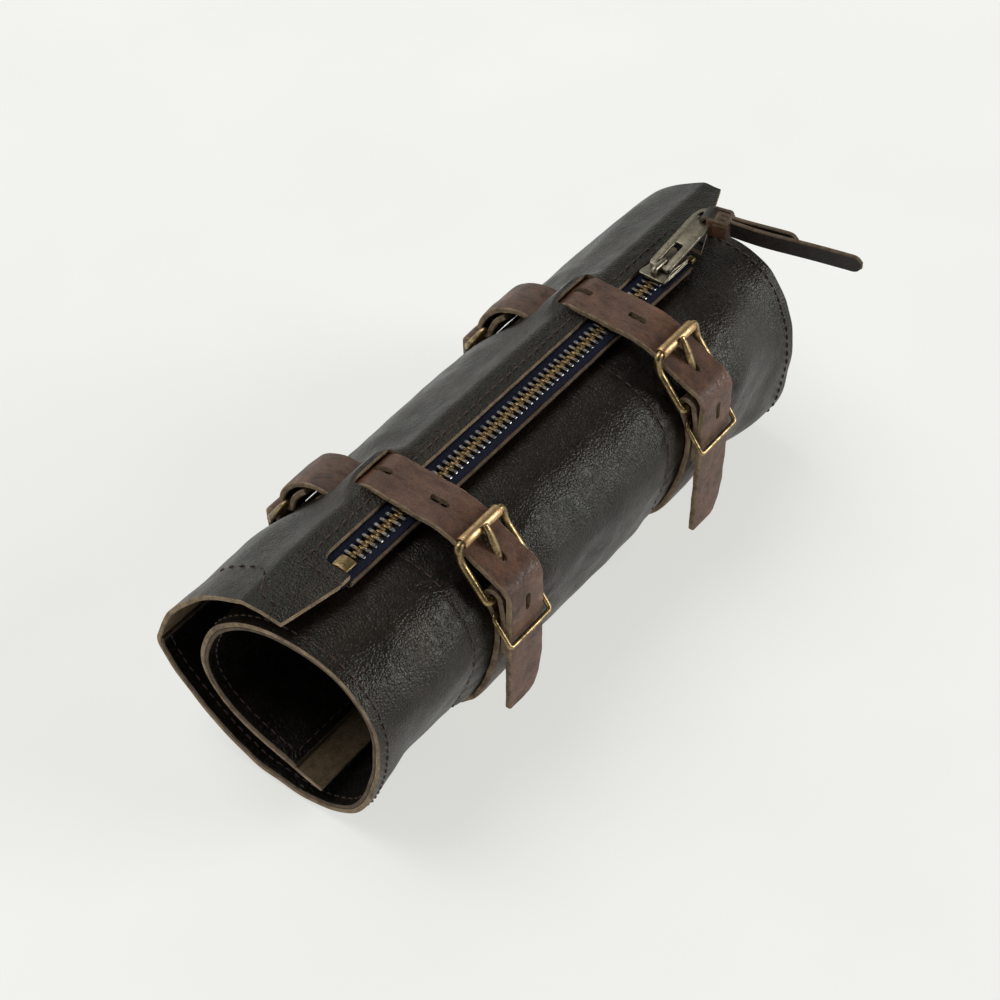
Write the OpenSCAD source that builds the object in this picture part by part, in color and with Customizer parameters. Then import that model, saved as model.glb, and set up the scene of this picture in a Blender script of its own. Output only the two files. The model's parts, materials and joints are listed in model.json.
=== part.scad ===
// Leather brush roll case, rolled up and strapped shut, with a zipped pocket on its flap.
// Millimetres. X runs along the roll, towards the end where the zip closes; -Y is the buckle
// side; Z is up, and Z = 0 is the surface that the two straps rest on. The origin is under the
// middle of the whole case.

/* [Case] */
// Length of the rolled body along X
roll_len = 276; // [256:4:292]
// How far the flap reaches past the far end of the body
flap_over = 15; // [6:1:18]
// Thickness of the outer leather
leather_t = 2; // [1.8:0.1:2.2]
// Thickness of the lining leather
liner_t = 1.6; // [1.2:0.1:1.8]
// Width of the suede margin that the lining leaves bare at the inner end
suede_margin = 13; // [8:1:18]

/* [Zip] */
// Distance between two teeth of one row
tooth_pitch = 3.28; // [3.2:0.02:3.4]
// Length of the window in the flap
window_len = 220; // [200:5:225]
// Length of the pull tab from its hinge to its round end
tab_len = 37; // [32:1:38]

/* [Straps] */
// Distance between the two straps
strap_pitch = 124; // [116:1:130]
// Width of each strap
strap_w = 20; // [18:0.5:21]
// Thickness of each strap
strap_t = 2.6; // [2.4:0.1:2.8]
// Distance between two oblong holes of a strap
hole_pitch = 26; // [25.75:0.25:26.25]

/* [Buckles] */
// Radius of the buckle frame's wire
frame_r = 1.6; // [1.5:0.05:1.7]
// Outer radius of the roller tube
roller_r = 2.5; // [2.4:0.05:2.6]
// Radius of the keeper's wire
keeper_r = 1; // [0.9:0.05:1.1]

/* [Hidden] */
$fn = 48;
gap = 0.2;            // room between a strap and the leather that it lies on
run = 0.08;           // radial clearance of a running fit
near_end = -roll_len / 2;
far_end = near_end + roll_len;
strap_x = [-strap_pitch / 2, strap_pitch / 2];
near = strap_x[0];
far = strap_x[1];

near_black = "#26211e";
flap_black = "#35322f";
lining = "#1d1917";
tan = "#8a6a48";
strap_brown = "#5b4438";
navy = "#1c2240";
old_brass = "#8f7a4a";
nickel = "#8c867c";
thread = "#4a2420";

// ---- paths of bent leather, in the Y-Z plane ----
// A path starts at point p with heading h (degrees from +Y towards +Z) and follows a list of
// bends, each [length, turn]. Its stations are [point, heading].
facet = 8;            // largest turn between two stations
function go(p, h, len) = p + len * [cos(h), sin(h)];
function steps(bend) = max(1, ceil(abs(bend[1]) / facet));
function stations(p, h, bends, i = 0, k = 0) =
    i == len(bends) ? [[p, h]] :
    let (n = steps(bends[i]), l = bends[i][0] / n, t = bends[i][1] / n, q = go(p, h + t / 2, l))
    concat([[p, h]], k + 1 < n ? stations(q, h + t, bends, i, k + 1)
                               : stations(q, h + t, bends, i + 1, 0));
function last(v) = v[len(v) - 1];
function first_of(bends, n) = [for (i = [0 : n - 1]) bends[i]];
function count_to(bends, n) = n == 0 ? 0 : steps(bends[n - 1]) + count_to(bends, n - 1);
function part_of(st, a, b) = [for (i = [a : b]) st[i]];
// The line d outside the stations; outside is to the left of the heading
function beside(st, d) = [for (s = st) s[0] + d * [-sin(s[1]), cos(s[1])]];
function turned(v) = [for (i = [len(v) - 1 : -1 : 0]) v[i]];
// The point at distance s along the stations, and the heading of the flat that it is on
function along(st, s, i = 0) =
    let (v = st[i + 1][0] - st[i][0], d = norm(v))
    (s <= d || i + 2 >= len(st)) ? [st[i][0] + v * s / d, atan2(v[1], v[0])] : along(st, s - d, i + 1);

// Everything is drawn about the middle of the strap pair, then moved so that the origin lies
// under the middle of the whole case, flap and rings included
module placed() { translate([-flap_over / 2, 7.24, 0]) children(); }
module along_x(x0, x1) {
    translate([x0, 0, 0]) rotate([90, 0, 90]) linear_extrude(x1 - x0) children();
}
module ribbon(st, outer, inner) {
    polygon(concat(beside(st, outer), turned(beside(st, inner))));
}
// Places its children on a path: their Y runs along it, and their Z points outwards
module on_path(st, s, x, out = 0) {
    a = along(st, s);
    translate([x, a[0][0], a[0][1]]) rotate([a[1], 0, 0]) translate([0, 0, out]) children();
}
module rod(p, q, r) {
    v = q - p;
    translate(p) rotate([0, acos(v[2] / norm(v)), atan2(v[1], v[0])]) cylinder(r = r, h = norm(v));
}
module bar_x(x, p, half, r) {
    translate([x - half, p[0], p[1]]) rotate([0, 90, 0]) cylinder(r = r, h = 2 * half);
}

// ---- the roll: one sheet, from the flap's front edge to its inner end ----
panel_bends = [
    [26, 0],          // zip bed, flat on top
    [4, -38],         // shoulder
    [73, -24],        // down the back
    [7, -62],         // sharp fold at the foot of the back
    [56, -30],        // in under the roll
    [9, -26],         // heel
    [14, 0],          // floor, between the straps and the lining
    [46, -68],        // front, low
    [37, -18],        // front
    [40, -76],        // front, high
    [33, -38],        // over the top, under the flap
    [49, -54],        // down inside the back
    [37, -80],        // turns forward again
    [30, -12],        // lies inwards
    [suede_margin, -6]
];
FOLD = 3; FLOOR = 6; FRONT_TOP = 9;      // places in panel_bends
flap_edge_y = -20;
rest_gap = strap_t + gap;                // the floor's height above Z = 0
raw_floor = stations([0, 0], 0, first_of(panel_bends, FLOOR));
flap_top = rest_gap - last(raw_floor)[0][1];
panel = stations([flap_edge_y, flap_top], 0, panel_bends);
at_fold = count_to(panel_bends, FOLD);
at_front_top = count_to(panel_bends, FRONT_TOP);
lined = part_of(panel, at_fold, len(panel) - 2);
flap_part = part_of(panel, 0, at_fold - 1);
flap_in = flap_top - leather_t;          // underside of the flap at the zip

// ---- zip ----
zip_y = -10.2;                           // middle of the chain
tape_t = 0.8;
tape_z = flap_in - tape_t;
tooth_reach = 4.2;                       // from the chain's middle to a tooth's tail
window_x0 = near_end + 31;
window_x1 = window_x0 + window_len;
window_y = -2.8;
slider_x0 = 86;
slider_len = 20;
tab_x = slider_x0 + 6;
tab_z = flap_top + 2.8;
tab_tilt = 8;
tab_t = 1.8;
tab_r = 5;                               // half the tab's width, and its round end
tab_pin_r = 0.95;
tab_eye = tab_len - tab_r;               // the thong's hole, from the hinge
tab_eye_r = 2.8;
thong_turn = -77;                        // the thong's heading at rest, from the tab's

// ---- tip strap, from its tail up over the front, to the ring on the back ----
tail_bends = [[60, 0], [9, -68], [19.5, 8], [16, -30], [25, 0]];
slit_bends = [[5, -60], [5, 0], [4, 16], [7, 0], [8, 50]];
arch_bends = [[35, -82]];
strap_flat = [3, flap_top + gap + strap_t / 2];
tail_end = strap_flat - last(stations([0, 0], 90, tail_bends))[0];
tip = stations(tail_end, 90, concat(tail_bends, slit_bends, arch_bends));
slit_y = [3.8, 12.9, 20.7, 35];          // front slit, bridge, back slit
tail_cut = 20;                           // height at which the tail starts to narrow
first_hole = 54;
hole_len = 9;
prong_hole_len = 13.5;
hole_w = 3.2;

// ---- ring, buckle and keeper, in the Y-Z plane ----
ring_r = 1.5;
ring_half = 12.5;
eye_r = frame_r + 0.05 + strap_t;        // a strap's end folded round a bar
arch_end = last(tip);
ring_top = arch_end[0] - (strap_t / 2 + ring_r + 0.05) * [-sin(arch_end[1]), cos(arch_end[1])];
ring_low = ring_top + [8.2, -13];
heel = [-52.4, flap_top - 19.9];
roller = heel + [13.5, 21.2];
knee = heel + [12.2, 14.6];
frame_half = 13;
prong_r = 1.2;
prong_len = 26.5;
reach = norm(roller - heel);
prong_angle = atan2(roller[1] - heel[1], roller[0] - heel[0])
            + asin((roller_r + prong_r + 0.15) / reach);
keeper_in = heel + [-1.5, -7.2];
keeper_out = heel + [-9.8, -18.6];
keeper_half = 12;

// ---- leather ----
module window_plan() {
    r = 4;
    translate([window_x0, flap_edge_y - 5]) square([window_len, window_y - flap_edge_y + 5 - r]);
    translate([window_x0 + r, flap_edge_y - 5]) square([window_len - 2 * r, window_y - flap_edge_y + 5]);
    for (x = [window_x0 + r, window_x1 - r]) translate([x, window_y - r]) circle(r = r);
}
// What is trimmed off the flap's two front corners
module corner_plan() {
    polygon([[window_x0 + 1, -16.4], [window_x0 - 6, -16.4], [near_end - 1, -10.6],
             [near_end - 1, -30], [window_x0 + 1, -30]]);
    polygon([[window_x1 - 1, -17], [far_end + flap_over + 1, 0.6],
             [far_end + flap_over + 1, -30], [window_x1 - 1, -30]]);
}
module slits() {
    half = strap_w / 2 + 0.5;
    for (x = strap_x) {
        translate([x - half, slit_y[0], flap_top - 8]) cube([2 * half, slit_y[1] - slit_y[0], 12]);
        translate([x - half, slit_y[2], flap_top - 22]) cube([2 * half, slit_y[3] - slit_y[2], 20]);
    }
}
module outer_panel() {
    color(near_black) difference() {
        union() {
            along_x(near_end, far_end) ribbon(panel, 0, -leather_t);
            along_x(far_end - 1, far_end + flap_over) ribbon(flap_part, 0, -leather_t);
        }
        translate([0, 0, flap_in - 2]) linear_extrude(leather_t + 4) window_plan();
        translate([0, 0, flap_in - 2]) linear_extrude(leather_t + 4) corner_plan();
        slits();
    }
}
module liner_panel() {
    color(lining) along_x(near_end, far_end) ribbon(lined, -leather_t, -leather_t - liner_t);
}
// The sewn row of brush slots on the lining, with a stitched rib between two slots
module brush_slot_panel() {
    back = -leather_t - liner_t;
    slots = part_of(panel, count_to(panel_bends, FLOOR), count_to(panel_bends, 11));
    color(lining) {
        along_x(near_end + 100, far_end - 6) ribbon(slots, back - 0.7, back - 1.7);
        for (i = [2 : 4 : len(slots) - 1])
            translate([near_end + 100, slots[i][0][0], slots[i][0][1]]) rotate([slots[i][1], 0, 0])
                translate([0, -0.5, back - 1.2]) cube([far_end - 106 - near_end, 1, 0.9]);
    }
}
module pocket_wall() {
    half = 0.5;
    front = [[0.5, 0], [0.8, -80], [1.9, 0], [0.8, 80]];
    rear = [[19.6, 0], [3, -42], [26, -6], [22, -4], [14, 6]];
    wall = stations([-18, tape_z - half], 0, concat(front, rear));
    color(tan) along_x(window_x0 - 6, window_x1 + 4) ribbon(wall, half, -half);
}

// ---- zip ----
module tape(y0, y1) {
    color(navy) translate([window_x0 - 5, y0, tape_z]) cube([window_len + 8, y1 - y0, tape_t]);
}
module zip_tape_back() { tape(zip_y + 3.3, 3.6); }
module zip_tape_front() { tape(-16.6, zip_y - 3.3); }
// One row of teeth; side is 1 for the back row and -1 for the front row
module teeth(side) {
    tooth_t = 1.5;
    head = 1.4;
    x0 = window_x0 + 8;
    n = floor((slider_x0 + 4 - x0) / tooth_pitch);
    color(old_brass) translate([0, zip_y, 0]) scale([1, side, 1]) difference() {
        for (i = [0 : n - 1])
            translate([x0 + (i + (side > 0 ? 0 : 0.5)) * tooth_pitch, -head, flap_in - 1.6])
                cube([tooth_t, head + tooth_reach, 2.5]);
        translate([x0 - 5, 3.25, tape_z - 0.05]) cube([window_len, 5, tape_t + 0.1]);
    }
}
module zip_teeth_back() { teeth(1); }
module zip_teeth_front() { teeth(-1); }
module zip_box_stop() {
    color(old_brass) difference() {
        translate([window_x0 + 0.6, zip_y - 3.9, flap_in - 1.8]) cube([6.6, 7.8, 3.2]);
        for (s = [-1, 1]) translate([window_x0, zip_y + s * 5.3 - 2, tape_z - 0.05]) cube([9, 4, tape_t + 0.1]);
    }
}
module zip_top_stops() {
    color(old_brass) for (s = [-1, 1]) difference() {
        translate([slider_x0 + slider_len + 1, zip_y + s * 4.6 - 1.4, flap_in - 1.6]) cube([3, 2.8, 2.5]);
        translate([slider_x0 + slider_len, zip_y + s * 6.3 - 3, tape_z - 0.05]) cube([5, 6, tape_t + 0.1]);
    }
}
module zip_slider() {
    top = flap_in + 1.2;                 // underside of the top plate
    low = flap_in - 1.9;                 // upper side of the bottom plate
    w = 6.2;
    color(nickel) translate([slider_x0, zip_y, 0]) difference() {
        union() {
            translate([0, -w, top]) cube([slider_len, 2 * w, 1.5]);
            translate([0, -5.6, low - 1.5]) cube([slider_len, 11.2, 1.5]);
            translate([slider_len - 5, -1.6, low - 0.1]) cube([4, 3.2, top - low + 0.2]);
            for (s = [-1, 1]) {
                translate([0, s * 5.7 - 0.5, flap_in + 0.25]) cube([slider_len, 1, top - flap_in]);
                translate([0, s * 5.3 - 0.3, low - 0.1]) cube([slider_len, 0.6, tape_z - low - 0.15]);
            }
            translate([tab_x - slider_x0 - 3.5, -1.4, top + 1]) cube([7, 2.8, tab_z - top + 1]);
        }
        translate([tab_x - slider_x0, -3, tab_z]) rotate([-90, 0, 0])
            cylinder(r = tab_pin_r + 0.05, h = 6);
    }
}
module zip_pull_tab() {
    rail = 3.1;
    color(nickel) translate([tab_x, zip_y, tab_z]) rotate([0, -tab_tilt, 0]) difference() {
        union() {
            for (s = [-1, 1]) translate([-1, s > 0 ? tab_r - rail : -tab_r, -tab_t / 2])
                cube([17, rail, tab_t]);
            translate([15, -tab_r, -tab_t / 2]) cube([tab_eye - 15, 2 * tab_r, tab_t]);
            translate([tab_eye, 0, -tab_t / 2]) cylinder(r = tab_r, h = tab_t);
            translate([0, -tab_r + 0.5, 0]) rotate([-90, 0, 0]) cylinder(r = tab_pin_r, h = 2 * tab_r - 1);
        }
        translate([tab_eye, 0, -3]) cylinder(r = tab_eye_r, h = 6);
    }
}
// A leather thong knotted through the tab's hole, with a short and a long tail
module pull_thong() {
    tail_w = 8;
    tail_t = 1.9;
    clear = tab_t / 2 + 0.35;
    color(strap_brown) translate([tab_x, zip_y, tab_z]) rotate([0, -tab_tilt, 0])
        translate([tab_eye, 0, 0]) rotate([0, 0, thong_turn]) {
            translate([0, 0, -clear - 0.5]) cylinder(r = tab_eye_r - 0.5, h = 2 * clear + 1);
            for (z = [clear, -clear - 1.7]) {
                translate([0, 0, z]) cylinder(r = 3, h = 1.7);
                translate([0, -3, z]) cube([9, 6, 1.7]);
            }
            translate([tab_r + 0.6, -3, -clear - 0.5]) cube([3.6, 6, 2 * clear + 1]);
            translate([8, 0.1, -tail_w / 2]) cube([32, tail_t, tail_w]);
            translate([8, -tail_t, -tail_w / 2]) cube([54, tail_t, tail_w]);
            translate([62, 0, 0]) rotate([90, 0, 0]) cylinder(r = tail_w / 2, h = tail_t);
        }
}

// ---- straps ----
module strap_hole(s, x, len) {
    on_path(tip, s, x, -strap_t) {
        for (e = [-1, 1]) translate([0, e * (len - hole_w) / 2, 0])
            cylinder(r = hole_w / 2, h = 2 * strap_t);
        translate([-hole_w / 2, -(len - hole_w) / 2, 0]) cube([hole_w, len - hole_w, 2 * strap_t]);
    }
}
module tip_strap(x, longer = 0) {
    h = strap_t / 2;
    low_end = tail_end - [0, longer];
    lap = part_of(tip, len(tip) - 5, len(tip) - 1);
    color(strap_brown) difference() {
        union() {
            along_x(x - strap_w / 2, x + strap_w / 2) ribbon(concat([[low_end, 90]], tip), h, -h);
            along_x(x - strap_w / 2, x + strap_w / 2) ribbon(lap, -h + 0.1, -h - strap_t);
            bar_x(x, ring_top, strap_w / 2, eye_r);
        }
        bar_x(x, ring_top, strap_w, ring_r + 0.05);
        for (i = [0 : 3])
            strap_hole(first_hole + i * hole_pitch, x, i == 1 ? prong_hole_len : hole_len);
        translate([x, low_end[0] + strap_t, low_end[1]]) rotate([90, 0, 0]) linear_extrude(2 * strap_t)
            polygon([[2, -1], [2, 0], [4.5, 1.5], [7.6, 7.5], [strap_w / 2, tail_cut],
                     [strap_w / 2 + 1, tail_cut], [strap_w / 2 + 1, -1]]);
    }
}
module tip_strap_near() { tip_strap(near); }
module tip_strap_far() { tip_strap(far, 8); }

// Runs from the ring, round the foot of the back and under the roll, up to the buckle's heel bar
module buckle_strap(x) {
    out = gap + strap_t;
    lean = -78;                          // heading at which it leaves the ring
    leave = ring_low + (eye_r - out) * [-sin(lean), cos(lean)];
    under = concat([[leave, lean]], part_of(panel, at_fold + 1, at_front_top + 3));
    top = last(under);
    n = [-sin(top[1]), cos(top[1])];
    rise = go([0, 0], top[1], 6.5);
    low_end = keeper_in[1] - 20;
    color(strap_brown) difference() {
        union() {
            along_x(x - strap_w / 2, x + strap_w / 2) {
                ribbon(under, out, gap);
                polygon([top[0] + gap * n, top[0] + gap * n + rise,
                         top[0] + out * n + rise, top[0] + out * n]);
                polygon([heel + [-eye_r, 0], heel + [-5.6, -12], [heel[0] - 5.6, low_end],
                         [heel[0] - 2, low_end], heel + [-0.9, -11], heel + [1.5, -2]]);
            }
            bar_x(x, heel, strap_w / 2, eye_r);
            bar_x(x, ring_low, strap_w / 2, eye_r);
        }
        bar_x(x, ring_low, strap_w, ring_r + 0.05);
        bar_x(x, heel, strap_w, frame_r + run);
        bar_x(x, heel, 2.2, eye_r + 0.5);
        bar_x(x, keeper_in, strap_w, keeper_r + run);
    }
}
module buckle_strap_near() { buckle_strap(near); }
module buckle_strap_far() { buckle_strap(far); }

// ---- brass ----
// A closed wire loop between two bars along X, with side wires at +-half
module loop(x, a, b, half, r) {
    for (p = [a, b]) bar_x(x, p, half, r);
    for (s = [-half, half]) {
        rod([x + s, a[0], a[1]], [x + s, b[0], b[1]], r);
        for (p = [a, b]) translate([x + s, p[0], p[1]]) sphere(r = r + 0.02);
    }
}
module back_ring(x) { color(old_brass) loop(x, ring_top, ring_low, ring_half, ring_r); }
module back_ring_near() { back_ring(near); }
module back_ring_far() { back_ring(far); }

module buckle_frame(x) {
    color(old_brass) {
        bar_x(x, heel, frame_half, frame_r);
        bar_x(x, roller, frame_half, frame_r);
        for (s = [-frame_half, frame_half]) {
            rod([x + s, heel[0], heel[1]], [x + s, knee[0], knee[1]], frame_r);
            rod([x + s, knee[0], knee[1]], [x + s, roller[0], roller[1]], frame_r);
            for (p = [heel, roller]) translate([x + s, p[0], p[1]]) sphere(r = frame_r + 0.02);
            translate([x + s, knee[0], knee[1]]) sphere(r = frame_r + 0.15);
        }
    }
}
module buckle_frame_near() { buckle_frame(near); }
module buckle_frame_far() { buckle_frame(far); }

module buckle_roller(x) {
    color(old_brass) difference() {
        bar_x(x, roller, 10.6, roller_r);
        bar_x(x, roller, 12, frame_r + run);
    }
}
module buckle_roller_near() { buckle_roller(near); }
module buckle_roller_far() { buckle_roller(far); }

module buckle_prong(x) {
    a = go(heel, prong_angle, 2.4);
    b = go(heel, prong_angle, prong_len);
    color(old_brass) difference() {
        union() {
            bar_x(x, heel, 1.5, 3.1);
            rod([x, a[0], a[1]], [x, b[0], b[1]], prong_r);
        }
        bar_x(x, heel, 3, frame_r + run);
    }
}
module buckle_prong_near() { buckle_prong(near); }
module buckle_prong_far() { buckle_prong(far); }

module strap_keeper(x) { color(old_brass) loop(x, keeper_in, keeper_out, keeper_half, keeper_r); }
module strap_keeper_near() { strap_keeper(near); }
module strap_keeper_far() { strap_keeper(far); }

// ---- thread ----
stitch_pitch = 5;
module stitch_row(st, s0, s1, x) {
    for (s = [s0 : stitch_pitch : s1])
        on_path(st, s, x, 0.02) translate([-0.35, -1.6, 0]) cube([0.7, 3.2, 0.35]);
}
front_from = 190;                        // along the panel, where the front starts to rise
front_to = 400;
// Holds the lining to the outer leather along the near edge
module edge_thread() {
    color(thread) stitch_row(panel, front_from, front_to, near_end + 4.5);
}
// Two rows round the roll, one beside each strap
module seam_thread() {
    color(thread) for (x = strap_x) stitch_row(panel, front_from, front_to, x - 21.5);
}
// Holds the zip's back tape under the flap
module window_thread() {
    y = window_y + 3.6;
    color(thread) for (x = [window_x0 - 4 : stitch_pitch : window_x1 + 2])
        if (min([for (s = strap_x) abs(x + 1.6 - s)]) > strap_w / 2 + 2)
            translate([x, y - 0.35, flap_top + 0.02]) cube([3.2, 0.7, 0.35]);
}

placed() outer_panel();
placed() liner_panel();
placed() brush_slot_panel();
placed() pocket_wall();
placed() zip_tape_back();
placed() zip_tape_front();
placed() zip_teeth_back();
placed() zip_teeth_front();
placed() zip_box_stop();
placed() zip_top_stops();
placed() zip_slider();
placed() zip_pull_tab();
placed() pull_thong();
placed() tip_strap_near();
placed() tip_strap_far();
placed() buckle_strap_near();
placed() buckle_strap_far();
placed() back_ring_near();
placed() back_ring_far();
placed() buckle_frame_near();
placed() buckle_frame_far();
placed() buckle_roller_near();
placed() buckle_roller_far();
placed() buckle_prong_near();
placed() buckle_prong_far();
placed() strap_keeper_near();
placed() strap_keeper_far();
placed() edge_thread();
placed() seam_thread();
placed() window_thread();
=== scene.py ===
"""Looks of the leather brush roll case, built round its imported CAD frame.

Lengths below are in millimetres in the frame's own axes: X runs along the roll, -Y is the buckle
side, Z is up. Meshes are turned into metres as they are made.
"""

import json
from math import asin, atan2, ceil, cos, degrees, exp, pi, radians, sin, sqrt, tau

import bmesh
import bpy
import numpy as np
from mathutils import Matrix, Vector


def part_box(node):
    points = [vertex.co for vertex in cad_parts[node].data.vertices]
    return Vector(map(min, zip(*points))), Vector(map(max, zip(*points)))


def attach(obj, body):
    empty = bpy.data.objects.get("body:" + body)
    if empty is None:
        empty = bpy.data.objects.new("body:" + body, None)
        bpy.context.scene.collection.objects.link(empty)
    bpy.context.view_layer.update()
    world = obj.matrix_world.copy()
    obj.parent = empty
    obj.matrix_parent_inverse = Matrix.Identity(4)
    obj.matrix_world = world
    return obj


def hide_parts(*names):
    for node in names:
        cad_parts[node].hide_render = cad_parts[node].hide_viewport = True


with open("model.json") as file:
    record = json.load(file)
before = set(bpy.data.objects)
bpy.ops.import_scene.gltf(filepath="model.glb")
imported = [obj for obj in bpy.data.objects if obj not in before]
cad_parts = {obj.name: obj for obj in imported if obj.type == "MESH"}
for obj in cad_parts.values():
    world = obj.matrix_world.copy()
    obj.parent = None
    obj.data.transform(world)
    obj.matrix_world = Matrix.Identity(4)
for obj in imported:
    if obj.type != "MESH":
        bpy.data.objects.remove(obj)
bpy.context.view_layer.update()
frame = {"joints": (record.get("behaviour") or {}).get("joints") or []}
MM = 0.001
OUTER, INNER, EDGE = 0, 1, 2          # material slots of a leather piece


# ---------------- places read from the frame
# The pieces are drawn about the middle of the strap pair, and MIDDLE takes them to the frame.
HINGE_Y = -10.2                       # the zip's line, and the pull tab's hinge, from there
joints = {joint["name"]: joint for joint in frame["joints"]}
MIDDLE = np.array([sum(joints["frame_hinge_" + side]["pos_m"][0] for side in ("near", "far")) / 2 / MM,
                   joints["pull_tab_hinge"]["pos_m"][1] / MM - HINGE_Y, 0])


def corners(node):
    """The lowest and highest corner of a CAD node."""
    return [np.array(corner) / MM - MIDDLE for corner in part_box(node)]


def pivot(name):
    return np.array(joints[name]["pos_m"]) / MM - MIDDLE


SIDES = ("near", "far")
STRAP_X = [sum(corners("tip_strap_" + side))[0] / 2 for side in SIDES]
NEAR_END, FLAP_END = (corner[0] for corner in corners("outer_panel"))
FAR_END = corners("liner_panel")[1][0]
FLAP_TOP = corners("zip_teeth_back")[1][2] + 1.1
HEEL = pivot("frame_hinge_near")[1:]
ROLLER = pivot("roller_spin_near")[1:]
KEEPER_IN = pivot("keeper_swing_near")[1:]
KEEPER_OUT = KEEPER_IN + [-8.3, -11.4]
TAB = pivot("pull_tab_hinge")
ZIP_Y = TAB[1]
WINDOW_X = corners("zip_tape_back")[0][0] + 5, corners("zip_tape_back")[1][0] - 3
SLIDER_X = corners("zip_slider")[0][0]
TAPE_Z = corners("zip_tape_back")[1][2]
RING = corners("back_ring_near")
RING_R = 1.5
RING_TOP = np.array([RING[0][1] + RING_R, RING[1][2] - RING_R])
RING_LOW = np.array([RING[1][1] - RING_R, RING[0][2] + RING_R])

LEATHER = 2.0                         # thickness of the outer sheet
LINING = 1.6
STRAP_T = 2.6
STRAP_HALF = 10.0
STRAP_GAP = 0.2
WINDOW_Y = -2.8
SLITS = (3.8, 11.8), (20.7, 35.0)
EDGE_ROW = 4.5                        # from a stitched edge to its stitches
SEAM_SIDE = 21.5                      # from a strap's middle to the seam beside it


# ---------------- paths of bent leather
def bend_path(start, heading, bends, step=1.6):
    """Points, headings in radians and distances along a path in the Y-Z plane, from its bends."""
    point, heading, distance = np.array(start, float), radians(heading), 0.0
    rows = [(*point, heading, distance)]
    for length, turn in bends:
        count = max(2, ceil(length / step), ceil(abs(turn) / 9))
        for _ in range(count):
            middle = heading + radians(turn) / count / 2
            point = point + length / count * np.array([cos(middle), sin(middle)])
            heading += radians(turn) / count
            distance += length / count
            rows.append((*point, heading, distance))
    return np.array(rows)


def stretch_of(path, start, end):
    """The part of a path between two distances along it."""
    return path[(path[:, 3] >= start - 1e-6) & (path[:, 3] <= end + 1e-6)]


def on_path(path, distance, offset=0.0):
    """The point and heading at a distance along a path, that far outside it."""
    y, z, heading = (np.interp(distance, path[:, 3], path[:, k]) for k in range(3))
    return np.array([y - offset * sin(heading), z + offset * cos(heading)]), heading


def smooth(value):
    value = np.clip(value, 0, 1)
    return value * value * (3 - 2 * value)


def ripple(a, b, size, seed, waves=7):
    """A soft pattern of hills and hollows between about -1 and 1, size apart."""
    draw = np.random.default_rng(seed)
    total = 0
    for _ in range(waves):
        angle, phase = draw.uniform(0, tau, 2)
        k = tau / (size * draw.uniform(0.7, 1.6))
        total = total + np.sin(k * (a * cos(angle) + b * sin(angle)) + phase)
    return total / sqrt(waves) / 1.4


PANEL_BENDS = [
    (26, 0),        # zip bed, flat on top
    (4, -38),       # shoulder
    (73, -24),      # down the back
    (7, -62),       # fold at the foot of the back
    (56, -30),      # in under the roll
    (9, -26),       # heel
    (14, 0),        # floor
    (46, -68),      # front, low
    (37, -18),      # front
    (40, -76),      # front, high
    (33, -38),      # over the top, under the flap
    (49, -54),      # down inside the back
    (37, -80),      # turns forward again
    (30, -12),      # lies inwards
    (13, -6),       # bare margin
]
FLAP_EDGE_Y = -20.0


def length_to(bend):
    return float(sum(length for length, _ in PANEL_BENDS[:bend]))


AT_FOLD, AT_FLOOR, AT_FRONT, AT_TOP = length_to(3), length_to(6), length_to(7), length_to(10)
AT_MARGIN = length_to(14)
panel = bend_path((FLAP_EDGE_Y, FLAP_TOP), 0, PANEL_BENDS)


def strap_distance(x):
    return np.minimum(abs(x - STRAP_X[0]), abs(x - STRAP_X[1]))


def hump(x, s):
    """The flap stands up over a strap where the strap dives under it."""
    rise = np.interp(s, (22, 31.6, 37, 42, 46, 55), (0, 4.9, 3.5, 2.3, 1.4, 0))
    return rise * np.exp(-(strap_distance(x) / 13.5) ** 4)


def body_lift(x, s):
    """How far the sheet stands outside its path, with the straps pulling it in."""
    free = smooth((strap_distance(x) - 11) / 17)
    belly = smooth((s - AT_FOLD) / 20) * (1 - smooth((s - AT_TOP + 8) / 30))
    lift = belly * free * (1.3 + 0.55 * ripple(x, s, 46, 3))
    lift += belly * free * 0.22 * ripple(x * 0.7, s, 11, 4)
    pucker = np.exp(-((strap_distance(x) - 19) / 8) ** 2)
    lift += belly * pucker * 0.28 * np.sin(s / 1.9 + 1.5 * ripple(x, s, 24, 5))
    back = smooth((s - 36) / 22) * (1 - smooth((s - AT_FOLD + 22) / 26))
    lift += back * free * (2.9 + 0.6 * ripple(x, s, 40, 6) + 0.15 * ripple(x, s * 0.6, 12, 7))
    near = smooth((-72 - x) / 16) * smooth((x - NEAR_END - 4) / 24)
    low = smooth((s - AT_FLOOR - 4) / 20) * (1 - smooth((s - AT_FRONT - 50) / 34))
    lift -= 3.2 * near * low
    far_end = smooth((x - 92) / 34)
    high_bow, low_bow = -6.5, 5.6
    lift += high_bow * far_end * np.exp(-((s - AT_TOP + 24) / 28) ** 2)
    lift += low_bow * far_end * np.exp(-((s - AT_FRONT - 29) / 23) ** 2)
    flap = 1 - smooth((s - 40) / 30)
    drape = smooth((NEAR_END + 34 - x) / 34)
    lift += flap * drape * (0.6 - 1.5 * (1 - smooth((s - 4) / 24)) - 2.2 * np.exp(-((s - 28) / 9) ** 2))
    far = smooth((x - 104) / 46)
    lift += flap * far * (-1.6 * np.exp(-((s - 25) / 10) ** 2) + 1.2 * np.exp(-((s - 42) / 12) ** 2))
    lift += hump(x, s)
    inside = smooth((s - AT_TOP - 40) / 30)
    lift += inside * 0.5 * ripple(x, s, 30, 8)
    for strap in STRAP_X:
        lift -= 0.5 * belly * np.exp(-((x - strap + SEAM_SIDE) / 1.9) ** 2)
    return lift


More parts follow.
